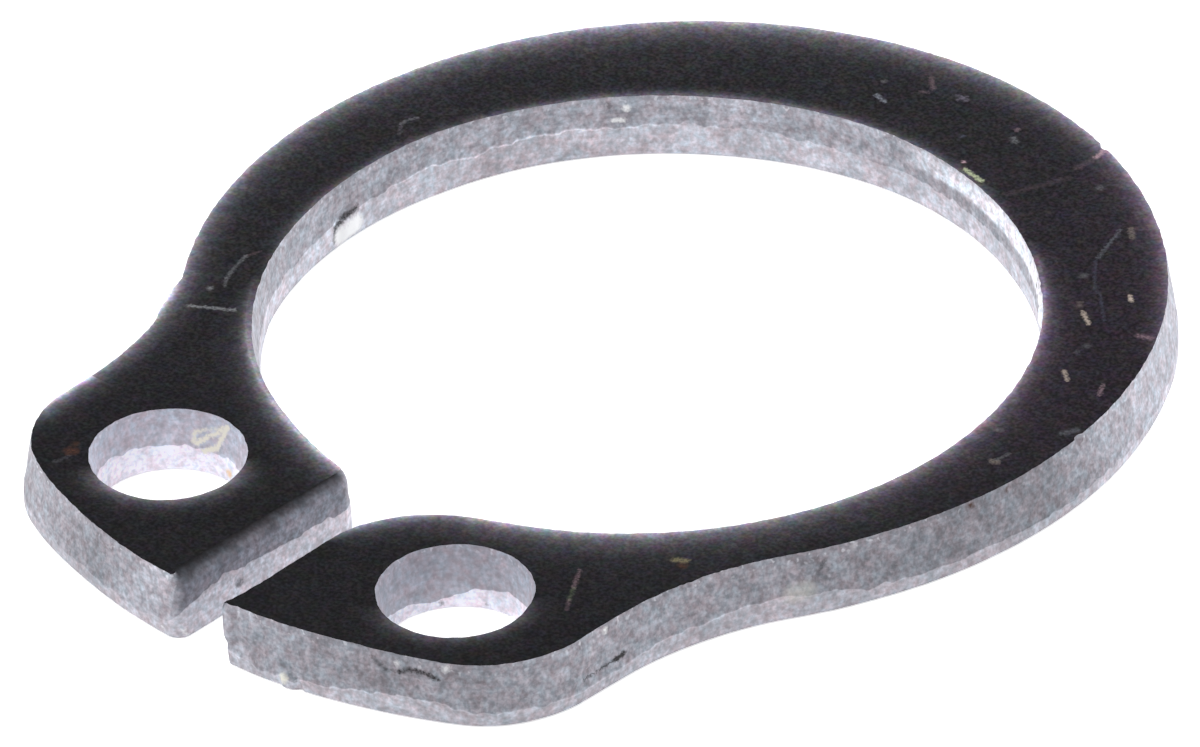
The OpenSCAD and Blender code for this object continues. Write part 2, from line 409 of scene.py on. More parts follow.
# Painted light and shade: how many times as bright the break and the land are painted at places,
# standing in for how the light falls there: x, y, break, land
WALL_LIGHT_AND_SHADE = [
    (0.50, -8.54, 1.1, 1.05), (2.5, -8.2, 0.80, 1.05), (4.6, -6.5, 1.05, 1.05),
    (5.3, -3.3, 1.0, 1.15), (6.3, -1.0, 0.78, 1.0), (6.5, 0.6, 0.71, 0.95),
    (6.2, 2.6, 1.35, 1.35), (0.0, 7.08, 1.0, 1.0), (-4.6, -6.0, 1.0, 1.0),
    (-3.1, -8.0, 1.02, 0.95), (-2.1, -8.3, 0.80, 0.9), (-0.7, -8.5, 1.32, 1.2),
    (-0.4, -8.0, 1.1, 1.2), (-0.4, -5.6, 1.1, 1.2), (-5.1, 0.0, 1.1, 1.3),
    (-4.5, 2.4, 1.25, 1.2), (-3.6, 3.6, 1.22, 1.32), (-2.9, 4.2, 1.38, 1.40),
    (-2.2, 4.6, 1.36, 1.20), (-1.5, 4.9, 1.12, 1.30), (-0.9, 5.0, 1.25, 1.16),
    (-0.2, 5.1, 1.10, 1.10), (0.5, 5.1, 1.0, 1.20), (1.4, 4.9, 0.9, 1.20),
    (2.3, 4.6, 1.05, 1.16), (3.3, 3.9, 1.15, 1.35), (5.1, 0.0, 1.2, 1.3),
    (1.0, -5.3, 1.1, 1.1), (0.44, -7.0, 1.1, 1.1),
]
# The same painted light for the walls of the plier holes, painted much brighter: break, land
LEFT_HOLE_LIGHT = (1.68, 2.0)
RIGHT_HOLE_LIGHT = (1.35, 1.95)
# Painted highlight: along the inner edge's far right the rim is bevelled, and is painted pale where
# the bevel catches the light: x, y, share
RIM_HIGHLIGHT = [(-0.2, 5.1, 0.0), (0.5, 5.08, 0.6), (1.4, 4.9, 0.75), (2.4, 4.5, 0.95),
              (3.4, 3.8, 1.0), (4.2, 2.9, 1.0), (4.9, 1.5, 0.4), (5.1, 0.0, 0.0),
              (0.0, -8.0, 0.0), (0.0, 7.0, 0.0)]
RIM_HIGHLIGHT_COLOUR = np.array((0.90, 0.92, 0.98))
RIM_FROM, RIM_TO, RIM_TOP, RIM_TOP_LOSS = 0.56, 0.63, 0.81, 0.5
# Painted highlight: the torn border of the land is painted bright where the inner wall faces the
# gap, where it catches the light: x, y, share
BORDER_HIGHLIGHT = [(-5.0, 0.2, 0.0), (-4.9, 1.4, 0.9), (-4.4, 2.6, 1.0), (-3.6, 3.6, 0.6),
                 (-2.9, 4.2, 0.15), (-2.0, 4.7, 0.25), (-1.2, 4.95, 0.0), (0.0, -8.0, 0.0),
                 (6.5, 0.0, 0.0), (0.0, 7.0, 0.0), (5.1, -3.6, 0.35), (5.9, -2.2, 0.0)]
BORDER_HIGHLIGHT_GAIN = 0.5

# How far down the gap's rolled-over edge the coat fades out, as a share of the roll-over
COAT_REACH = 0.8
# How strong the steel's grain is in the plier holes, on the land and on the break
HOLE_GRAIN, LAND_GRAIN, BREAK_GRAIN = 0.6, 0.85, 1.0

ROLL_ROWS, LAND_ROWS, BREAK_ROWS = 4, 3, 10
# Rows beside the land's border: how far below it, just above it, and where the break starts
BORDER_BELOW, BORDER_ABOVE, BREAK_ABOVE = 0.02, 0.012, 0.03
# Width of the strip round each face, from which its cap starts
CAP_RIM = 0.03
FIRST_SEED, SEED_STEP = 11, 20


def paint(loop, z, is_land, border):
    """The steel's colour along one row of the wall, with its painted light, shade and highlights,
    and the strength of its grain.
    """
    left = loop.kinds("left")[:, None]
    # painted light and shade, by place along the wall
    if isinstance(loop, Hole):
        tone = np.full(loop.count, loop.tone[1 if is_land else 0])
    else:
        tone = loop.spread(WALL_LIGHT_AND_SHADE)[1 if is_land else 0]
    colour = (LAND_COLOUR if is_land else BREAK_COLOUR) * tone[:, None]
    if not is_land:
        colour = colour * (1 - left) + GAP_BAND * left
        below = (SHEET_T - z) / np.maximum(COAT_REACH * loop.gap_roll, 0.01)
        coated = np.clip(1 - below, 0, 1)[:, None] * left
        colour = colour * (1 - coated) + COAT * coated
    if isinstance(loop, Outline):
        # painted highlight along the bevelled rim of the inner edge's far right
        share, = loop.spread(RIM_HIGHLIGHT)
        share = share * smooth((z - RIM_FROM) / (RIM_TO - RIM_FROM))
        loss = RIM_TOP_LOSS * smooth((z - RIM_TOP) / (SHEET_T - RIM_TOP))
        share = (share * (1 - loss))[:, None]
        colour = colour * (1 - share) + RIM_HIGHLIGHT_COLOUR * share
        if border:
            # painted highlight along the land's torn border
            share, = loop.spread(BORDER_HIGHLIGHT)
            colour = colour * (1 + BORDER_HIGHLIGHT_GAIN * share[:, None])
    grain = HOLE_GRAIN if isinstance(loop, Hole) else LAND_GRAIN if is_land else BREAK_GRAIN
    return np.column_stack([colour, np.full(loop.count, grain)])


def build_loop(loop, seed, data):
    """The wall of one loop, from the bottom face's edge to the top's. Returns both edges."""
    n, s = loop.count, loop.s
    land = loop.land_mid
    for k, (length, height) in enumerate(LAND_NOISE):
        land = land + height * noise_field(seed + k, loop.length, 1, length, 1)(s, s * 0)
    land = np.maximum(land, LAND_LOWEST)
    seed += len(LAND_NOISE)
    waves = [(noise_field(seed + k, loop.length, 1, length, high), on_land, on_break)
             for k, (length, high, on_land, on_break) in enumerate(WALL_NOISE)]
    teeth = noise_field(seed + len(WALL_NOISE), loop.length, 1, TEETH_LENGTH, 1)(s, s * 0)

    rows = []
    for k in range(ROLL_ROWS + 1):
        z = ROLL_H * (1 - math.cos(math.pi / 2 * k / ROLL_ROWS))
        rows.append((z + s * 0, True, False, 0.0))
    for k in range(1, LAND_ROWS + 1):
        rows.append((ROLL_H + (land - BORDER_BELOW - ROLL_H) * k / LAND_ROWS, True, False, 0.0))
    rows.append((land, True, True, 0.0))
    rows.append((land + BORDER_ABOVE, False, True, 0.5))
    for k in range(BREAK_ROWS + 1):
        z = land + BREAK_ABOVE + (SHEET_T - land - BREAK_ABOVE) * k / BREAK_ROWS
        rows.append((z, False, False, 1.0))
    start = len(data["verts"])
    for z, is_land, border, rough in rows:
        pos, nor = loop.wall(z, land)
        even, torn = 0.0, TORN_DEPTH
        for wave, on_land, on_break in waves:
            even, torn = even + on_land * wave(s, z), torn + on_break * wave(s, z)
        height = even * (1 - rough) - torn * rough
        height += loop.out_bottom + (loop.out_top - loop.out_bottom) * z / SHEET_T
        height += TEETH_H * loop.teeth * teeth * smooth((z - TEETH_FROM) / TEETH_RISE)
        if isinstance(loop, Outline):
            for x, y, reach, z0, z1, h in BULGES:
                along = smooth(BULGE_STEEPNESS * (1 - loop.apart((x, y)) / reach))
                mid, half = (z0 + z1) / 2, (z1 - z0) / 2
                height += h * along * smooth(BULGE_STEEPNESS * (1 - np.abs(z - mid) / half))
        pos = pos + nor * height[:, None]
        data["verts"].extend(zip(pos[:, 0], pos[:, 1], z))
        data["tint"].extend(paint(loop, z, is_land, border))
        data["run"].extend(s)
    # a narrow strip on each face, from which its cap starts
    ends = []
    count = len(rows)
    for row, z in ((0, 0.0), (count - 1, SHEET_T)):
        base = np.array(data["verts"][start + row * n:start + (row + 1) * n])
        along = (np.roll(base, -2, 0) - np.roll(base, 2, 0))[:, :2]
        along /= np.linalg.norm(along, axis=1)[:, None]
        edge = base[:, :2] + np.column_stack([-along[:, 1], along[:, 0]]) * CAP_RIM
        ends.append(len(data["verts"]))
        data["verts"].extend((p[0], p[1], z) for p in edge)
        data["tint"].extend([(*COAT, 1.0)] * n)
        data["run"].extend(s)
    for r in range(count - 1):
        a, b = start + r * n, start + (r + 1) * n
        for i in range(n):
            j = (i + 1) % n
            data["faces"].append((a + i, a + j, b + j, b + i))
            data["mats"].append(1)
    bottom, top = start, start + (count - 1) * n
    for i in range(n):
        j = (i + 1) % n
        data["faces"].append((bottom + j, bottom + i, ends[0] + i, ends[0] + j))
        data["faces"].append((top + i, top + j, ends[1] + j, ends[1] + i))
        data["mats"].extend([0, 0])
    return [np.arange(first, first + n) for first in ends]


def inside(points, loop):
    """Which points lie inside a closed loop."""
    x, y = points[:, 0][:, None], points[:, 1][:, None]
    x0, y0 = loop[:, 0][None], loop[:, 1][None]
    x1, y1 = np.roll(loop[:, 0], -1)[None], np.roll(loop[:, 1], -1)[None]
    rise = np.where(y1 == y0, 1e-12, y1 - y0)
    hit = ((y0 > y) != (y1 > y)) & (x < (x1 - x0) * (y - y0) / rise + x0)
    return hit.sum(1) % 2 == 1


CAP_GRID = 0.2
SHARP_ANGLE = math.radians(40)


def cap(loops, z, up, data):
    """Fills a face between its outline and the holes."""
    verts = data["verts"]
    ids = np.concatenate(loops)
    flat = [np.array([verts[i][:2] for i in lp]) for lp in loops]
    pts = np.concatenate(flat)
    edges, base = [], 0
    for lp in loops:
        n = len(lp)
        edges += [(base + i, base + (i + 1) % n) for i in range(n)]
        base += n
    lo, hi = pts.min(0), pts.max(0)
    gx, gy = np.meshgrid(np.arange(lo[0], hi[0], CAP_GRID), np.arange(lo[1], hi[1], CAP_GRID))
    gx = gx + (np.arange(gx.shape[0]) % 2)[:, None] * CAP_GRID / 2
    grid = np.column_stack([gx.ravel(), gy.ravel()])
    ok = inside(grid, flat[0])
    for f in flat[1:]:
        ok &= ~inside(grid, f)
    grid = grid[ok]
    clear = np.array([np.min(((pts - p) ** 2).sum(1)) for p in grid]) > (CAP_GRID / 2) ** 2
    points = np.concatenate([pts, grid[clear]])
    vs, _, fs, orig, _, _ = delaunay_2d_cdt([Vector(p) for p in points.tolist()], edges, [],
                                            1, 1e-7)
    new = {}
    for k, o in enumerate(orig):
        if o and o[0] < len(ids):
            new[k] = int(ids[o[0]])
        else:
            new[k] = len(verts)
            verts.append((vs[k][0], vs[k][1], z))
            data["tint"].append((*COAT, 1.0))
            data["run"].append(0.0)
    tri = np.array([tuple(f) for f in fs])
    xy = np.array([tuple(v) for v in vs])
    mid = xy[tri].mean(1)
    ok = inside(mid, flat[0])
    for f in flat[1:]:
        ok &= ~inside(mid, f)
    for f in tri[ok]:
        a, b, c = (xy[k] for k in f)
        ccw = (b[0] - a[0]) * (c[1] - a[1]) - (b[1] - a[1]) * (c[0] - a[0]) > 0
        f = [new[k] for k in f]
        data["faces"].append(tuple(f if ccw == up else f[::-1]))
        data["mats"].append(0)


def make_ring():
    """The ring's mesh: the walls of its three loops and a cap on each face."""
    data = {"verts": [], "faces": [], "mats": [], "tint": [], "run": []}
    loops = [Outline(), Hole(-HOLE_X, HOLE_Y, LEFT_HOLE_LAND, LEFT_HOLE_WANDER, LEFT_HOLE_LIGHT),
             Hole(HOLE_X, HOLE_Y, RIGHT_HOLE_LAND, RIGHT_HOLE_WANDER, RIGHT_HOLE_LIGHT)]
    ends = [build_loop(lp, FIRST_SEED + SEED_STEP * i, data) for i, lp in enumerate(loops)]
    cap([e[0] for e in ends], 0.0, False, data)
    cap([e[1] for e in ends], SHEET_T, True, data)
    mesh = bpy.data.meshes.new("sheared_ring")
    mesh.from_pydata([(x * MM, y * MM, z * MM) for x, y, z in data["verts"]], [], data["faces"])
    tint = np.array(data["tint"])
    at = mesh.attributes.new("tint", "FLOAT_COLOR", "POINT")
    at.data.foreach_set("color", tint.astype(np.float32).ravel())
    at = mesh.attributes.new("run", "FLOAT", "POINT")
    at.data.foreach_set("value", np.array(data["run"], np.float32))
    mesh.polygons.foreach_set("material_index", np.array(data["mats"], np.int32))
    mesh.polygons.foreach_set("use_smooth", np.ones(len(data["mats"]), bool))
    mesh.set_sharp_from_angle(angle=SHARP_ANGLE)
    mesh.update()
    ob = bpy.data.objects.new("sheared_ring", mesh)
    bpy.context.scene.collection.objects.link(ob)
    return ob


# The marks' edges are shaken by noise, up to half of MARK_SHAKE millimetres
MARK_NOISE, MARK_SHAKE = 24, 0.07
# Where a mark starts to fade and where it ends, in half widths
MARK_FULL, MARK_END = 0.4, 1.5

# Colours of the marks
PALE_BLUE = (0.50, 0.54, 0.62)
WHITE = (0.95, 0.95, 0.95)
CREAM = (0.85, 0.82, 0.70)
ORANGE = (0.90, 0.60, 0.30)
PINK = (0.42, 0.28, 0.32)
BEIGE = (0.52, 0.43, 0.36)
LAVENDER = (0.33, 0.29, 0.38)
GREEN = (0.27, 0.33, 0.19)
PALE_GREEN = (0.38, 0.42, 0.27)
YELLOW = (0.32, 0.28, 0.15)
GREY = (0.19, 0.195, 0.205)
BLUE_GREY = (0.09, 0.10, 0.14)
RUST = (0.075, 0.032, 0.02)
DARK = (0.03, 0.027, 0.03)

# Marks on the top face: points of a line or a single place, half width, colour, share
TOP_MARKS = [
    ([(-1.08, 5.69), (-0.90, 5.64)], 0.035, PALE_BLUE, 0.26),
    ([(-1.23, 6.00)], 0.04, GREY, 0.28),
    ([(-0.80, 6.45), (-0.60, 6.27)], 0.035, PINK, 0.16),
    ([(-0.68, 6.12), (-0.60, 6.16)], 0.03, PINK, 0.14),
    ([(-0.24, 6.36), (-0.08, 6.34)], 0.035, LAVENDER, 0.18),
    ([(-0.14, 6.42), (-0.18, 6.28)], 0.025, LAVENDER, 0.20),
    ([(0.45, 5.67)], 0.04, BLUE_GREY, 0.40),
    ([(0.91, 6.23)], 0.04, PINK, 0.26),
    ([(1.00, 6.05), (1.08, 6.01)], 0.045, GREY, 0.42),
    ([(2.67, 5.89)], 0.06, GREY, 0.30),
    ([(2.12, 6.58), (2.15, 6.40)], 0.035, PINK, 0.70),
    ([(2.15, 6.44), (2.13, 6.06)], 0.05, PINK, 0.09),
    ([(2.19, 5.80), (1.84, 5.02)], 0.05, PINK, 0.045),
    ([(3.54, 5.31), (3.76, 4.63)], 0.028, PALE_BLUE, 0.10),
    ([(3.77, 4.58), (4.23, 4.04), (4.35, 4.01), (4.80, 3.59)], 0.022, BLUE_GREY, 0.24),
    ([(3.64, 5.42), (3.79, 5.27)], 0.04, BEIGE, 0.17),
    ([(4.68, 4.23), (4.77, 4.15)], 0.03, BEIGE, 0.65),
    ([(4.45, 3.56), (4.70, 3.40)], 0.032, BEIGE, 0.55),
    ([(4.27, 3.69), (4.33, 3.64)], 0.04, BEIGE, 0.10),
    ([(3.90, 4.20)], 0.06, GREY, 0.26),
    ([(5.55, 3.66), (5.40, 3.60)], 0.05, PINK, 0.28),
    ([(5.19, 2.37), (5.36, 2.24)], 0.03, BEIGE, 0.42),
    ([(5.80, 2.45), (5.92, 2.24)], 0.032, PINK, 0.27),
    ([(6.24, 1.44), (6.14, 1.28)], 0.05, PALE_BLUE, 0.08),
    ([(5.87, 0.22), (5.93, 0.23)], 0.05, BEIGE, 0.20),
    ([(5.89, 0.27), (5.93, 0.48)], 0.028, GREY, 0.26),
    ([(5.46, 0.81)], 0.05, GREY, 0.30),
    ([(5.03, 3.00)], 0.05, GREY, 0.23),
    ([(5.02, 2.81)], 0.04, GREY, 0.20),
    ([(5.30, -0.94)], 0.05, BLUE_GREY, 0.60),
    ([(5.15, 1.43)], 0.04, GREY, 0.30),
    ([(-4.68, -3.70), (-4.15, -3.40)], 0.032, GREY, 0.72),
    ([(-4.75, -3.22)], 0.045, GREY, 0.62),
    ([(-4.83, -2.17), (-4.90, -2.37)], 0.024, PINK, 0.09),
    ([(-4.90, -2.37), (-4.86, -2.52), (-4.81, -2.72), (-4.74, -2.90)], 0.028, GREY, 0.34),
    ([(-4.74, -2.90), (-4.63, -3.06)], 0.026, GREY, 0.27),
    ([(-5.40, 1.47), (-5.46, 1.35), (-5.46, 1.23)], 0.026, GREY, 0.35),
    ([(-5.46, 1.23), (-5.32, 1.04)], 0.024, LAVENDER, 0.10),
    ([(3.44, -5.02), (3.66, -5.38)], 0.028, PINK, 0.18),
    ([(3.66, -5.38), (3.80, -5.62)], 0.03, GREEN, 0.13),
    ([(3.80, -5.62), (3.94, -5.81)], 0.026, PINK, 0.14),
    ([(4.23, -4.08), (4.36, -4.00)], 0.05, YELLOW, 0.36),
    ([(4.40, -4.10)], 0.07, RUST, 0.55),
    ([(4.95, -2.75)], 0.06, YELLOW, 0.07),
    ([(4.60, -3.35)], 0.05, GREY, 0.14),
    ([(-3.53, -7.16)], 0.09, RUST, 0.80),
    ([(-3.60, -7.00)], 0.05, RUST, 0.40),
    ([(-3.53, -7.49), (-3.47, -7.25)], 0.03, GREY, 0.12),
    ([(1.02, 5.10), (1.36, 5.03)], 0.035, PALE_GREEN, 1.0),
    ([(0.87, 5.22)], 0.032, PINK, 1.0),
]

# Marks on the walls, the same with heights
WALL_MARKS = [
    # Painted shadow (dark) round the flake of a nick in the far left wall, and a painted highlight
    # (white) on the flake
    ([(-5.08, -0.50, 0.33), (-5.10, -0.28, 0.40), (-5.11, -0.08, 0.42)], 0.05, DARK, 0.9),
    ([(-5.07, -0.56, 0.14), (-5.07, -0.54, 0.32)], 0.035, DARK, 0.8),
    ([(-5.08, -0.40, 0.17), (-5.10, -0.14, 0.21)], 0.12, WHITE, 1.6),
    ([(-3.80, 3.46, 0.76)], 0.07, DARK, 0.45),
    ([(-3.63, 3.60, 0.73)], 0.05, WHITE, 0.95),
    ([(-3.74, 3.48, 0.56), (-3.66, 3.56, 0.55)], 0.035, WHITE, 0.8),
    ([(2.43, 4.52, 0.72), (2.46, 4.49, 0.90)], 0.018, DARK, 0.3),
    ([(3.01, 4.16, 0.70), (3.04, 4.12, 0.90)], 0.022, DARK, 0.5),
    ([(3.33, 3.89, 0.66), (3.38, 3.84, 0.90)], 0.022, DARK, 0.9),
    ([(3.43, 3.77, 0.55), (3.43, 3.77, 0.88)], 0.03, DARK, 0.6),
    # Painted highlights (white) on the two bulges of the far wall at x 3.65 and 3.92
    ([(3.58, 3.65, 0.80), (3.68, 3.57, 0.74)], 0.08, WHITE, 1.4),
    ([(3.77, 3.47, 0.60), (3.78, 3.45, 0.85)], 0.02, DARK, 0.5),
    ([(3.86, 3.44, 0.78), (3.95, 3.33, 0.68)], 0.08, WHITE, 1.4),
    ([(-2.79, -5.45, 0.34)], 0.10, DARK, 0.12),
    ([(-2.90, -5.48, 0.43), (-2.43, -5.37, 0.81), (-2.61, -5.41, 0.44), (-2.79, -5.45, 0.34)],
     0.036, CREAM, 1.3),
    ([(-2.95, -5.49, 0.45), (-2.92, -5.48, 0.60), (-2.43, -5.37, 0.81)], 0.032, CREAM, 0.9),
    ([(-2.37, -5.43, 0.16)], 0.06, ORANGE, 0.8),
    # Painted highlight (cream) on a burr at the foot of the near wall
    ([(1.39, -8.44, 0.15)], 0.065, CREAM, 0.9),
    ([(1.36, -8.45, 0.33)], 0.06, DARK, 0.3),
    ([(1.54, -8.43, 0.14), (1.56, -8.42, 0.2)], 0.03, DARK, 0.5),
    ([(2.61, -8.08, 0.80), (2.79, -8.03, 0.66)], 0.03, DARK, 0.5),
    ([(2.79, -8.03, 0.66), (2.98, -7.95, 0.67)], 0.024, DARK, 0.35),
    ([(2.98, -7.95, 0.67), (3.10, -7.90, 0.73), (3.25, -7.84, 0.73), (3.46, -7.75, 0.66)],
     0.032, DARK, 0.9),
    ([(3.55, -7.69, 0.83)], 0.05, WHITE, 0.55),
    ([(2.93, -7.95, 0.78)], 0.04, WHITE, 0.5),
    ([(4.61, -5.50, 0.38), (4.61, -5.66, 0.35)], 0.035, DARK, 1.2),
    ([(4.61, -5.66, 0.35), (4.61, -6.25, 0.34)], 0.018, DARK, 0.8),
    ([(4.53, -5.75, 0.82)], 0.05, WHITE, 0.75),
    ([(4.46, -5.99, 0.90), (4.57, -6.05, 0.60)], 0.03, WHITE, 0.12),
    ([(-0.66, -8.53, 0.12), (-0.38, -8.42, 0.13)], 0.022, WHITE, 0.5),
    ([(-0.40, -8.46, 0.13), (-0.38, -8.36, 0.02)], 0.022, WHITE, 0.5),
    ([(-0.38, -7.43, 0.30), (-0.38, -7.36, 0.34)], 0.04, DARK, 0.6),
    ([(6.30, -0.65, 0.86)], 0.05, RUST, 0.85),
    ([(6.40, -0.08, 0.84)], 0.04, RUST, 0.6),
    ([(5.57, -2.69, 0.75), (5.55, -2.77, 0.62)], 0.03, DARK, 0.5),
    ([(5.54, -2.79, 0.61), (5.58, -2.76, 0.52), (5.64, -2.67, 0.48), (5.69, -2.57, 0.50)],
     0.03, DARK, 0.3),
    ([(5.49, -2.96, 0.40), (5.38, -3.12, 0.37)], 0.12, CREAM, 0.3),
    ([(5.76, -2.31, 0.85)], 0.05, WHITE, 0.20),
    ([(1.71, -5.83, 0.09)], 0.035, DARK, 0.6),
    ([(2.19, -5.47, 0.10)], 0.025, DARK, 0.3),
]


def onto_wall(mesh, points):
    """Moves points along the wall's normal until they lie on the wall."""
    at = np.empty(len(mesh.vertices) * 3, np.float32)
    mesh.vertices.foreach_get("co", at)
    at = at.reshape(-1, 3) / MM
    out = []
    for p in points:
        near = int(((at - p) ** 2).sum(1).argmin())
        nor = np.array(mesh.vertices[near].normal)
        out.append(tuple(np.array(p) - nor * float((np.array(p) - at[near]) @ nor)))
    return out


class Nodes:
    """Short calls for building a node tree."""

    def __init__(self, name):
        self.mat = bpy.data.materials.new(name)
        self.mat.use_nodes = True
        self.t = self.mat.node_tree
        self.t.nodes.clear()

    def new(self, kind, inputs=None, **props):
        n = self.t.nodes.new(kind)
        for k, v in props.items():
            setattr(n, k, v)
        for k, v in (inputs or {}).items():
            if isinstance(v, bpy.types.NodeSocket):
                self.t.links.new(v, n.inputs[k])
            else:
                n.inputs[k].default_value = v
        return n

    def math(self, op, a, b=0.0):
        return self.new("ShaderNodeMath", {0: a, 1: b}, operation=op).outputs[0]

    def times(self, a, b):
        return self.math("MULTIPLY", a, b)

    def vmath(self, op, a, b=(0.0, 0.0, 0.0)):
        return self.new("ShaderNodeVectorMath", {0: a, 1: b}, operation=op)

    def mix(self, f, a, b, blend="MIX"):
        n = self.new("ShaderNodeMix", {0: f, 6: a, 7: b}, data_type="RGBA", blend_type=blend)
        return n.outputs[2]

    def noise(self, vec, scale, detail=2.0, rough=0.5):
        return self.new("ShaderNodeTexNoise", {"Vector": vec, "Scale": scale, "Detail": detail,
                                               "Roughness": rough})

    def ramp(self, x, a, b, lo=0.0, hi=1.0):
        return self.new("ShaderNodeMapRange", {"Value": x, "From Min": a, "From Max": b,
                                               "To Min": lo, "To Max": hi}).outputs[0]

    def grey(self, v):
        return self.new("ShaderNodeCombineColor", {0: v, 1: v, 2: v}).outputs[0]

    def place(self):
        """The place on the ring in millimetres, and the same a little blurred for marks."""
        at = self.new("ShaderNodeTexCoord").outputs["Object"]
        p = self.new("ShaderNodeVectorMath", {0: at, "Scale": 1 / MM}, operation="SCALE").outputs[0]
        shake = self.noise(p, MARK_NOISE, 1).outputs["Color"]
        shake = self.vmath("SUBTRACT", shake, (0.5, 0.5, 0.5)).outputs[0]
        return p, self.new("ShaderNodeVectorMath", {0: shake, 1: (MARK_SHAKE,) * 3, 2: p},
                           operation="MULTIPLY_ADD").outputs[0]

    def stretch(self, p, a, b):
        """Distance from p to the straight line between two points."""
        a, b = np.array(a), np.array(b)
        d = b - a
        rel = self.vmath("SUBTRACT", p, tuple(a)).outputs[0]
        h = self.vmath("DOT_PRODUCT", rel, tuple(d / (d @ d))).outputs["Value"]
        h = self.new("ShaderNodeClamp", {"Value": h}).outputs[0]
        back = self.new("ShaderNodeVectorMath", {0: tuple(d), "Scale": h}, operation="SCALE")
        return self.vmath("DISTANCE", rel, back.outputs[0]).outputs["Value"]

    def marks(self, p, colour, marks, broken):
        """Lays marks over a colour: marks of wear, and some painted highlights and shadows."""
        for points, half, paint_colour, share in marks:
            if len(points) == 1:
                dist = self.vmath("DISTANCE", p, points[0]).outputs["Value"]
            else:
                dist = None
                for a, b in zip(points, points[1:]):
                    one = self.stretch(p, a, b)
                    dist = one if dist is None else self.math("MINIMUM", dist, one)
            mask = self.ramp(dist, half * MARK_END, half * MARK_FULL, 0.0, share)
            colour = self.mix(self.times(mask, broken), colour, (*paint_colour, 1))
        return colour

    def out(self, shader):
        self.new("ShaderNodeOutputMaterial", {"Surface": shader})
        return self.mat


# The coat is painted paler along its edge, in a broad and a narrow pale band, as painted glare
# where the bright background bleeds over it: share, reach. Both are narrower where the edge
# runs towards the far side.
BROAD, BROAD_REACH = 0.26, 0.22
NARROW, NARROW_REACH = 0.48, 0.06
NARROWER = 1.8
LEFT_HOLE_GLARE, RIGHT_HOLE_GLARE, HOLE_REACH = 0.18, 0.09, 0.10
# How far in from the outline the top face's rim stands
EDGE_AT = 0.04
SIDE_EDGE_AT = 0.09
BORE_EDGE_AT = 0.10
BORE_FAR_AT = 0.02
HOLE_EDGE_AT = 0.08
# Where the bands set in on the way to the far side: from, to, the shares there
AWAY = (-OFF_SIDE[0], -OFF_SIDE[1], 0.0)
OUTER_SHOWS = (-1.8, 2.0)
LEFT_LUG_SHOWS, LEFT_LUG_X = (-3.0, -1.8), (-3.0, -4.5)
INNER_SHOWS = (1.3, -3.0, 0.0, 0.74)
CORNER_SHOWS, CORNER_RISE = 0.7, 1.0
FAR_SHOWS = (1.0, 3.0, 0.0, 0.09)
HOLE_SHOWS = (-0.2, -0.8)
# Round the right lug's inner corner, the band lies between these x
CORNER_X = (RIGHT_X - 0.1, RIGHT_CORNER_C[0] - 0.6)
NECK_TOP_Y = OUTER_C[1] + OUTER_R * math.sin(A_OUT)
CENTRE = (0.0, 0.0)


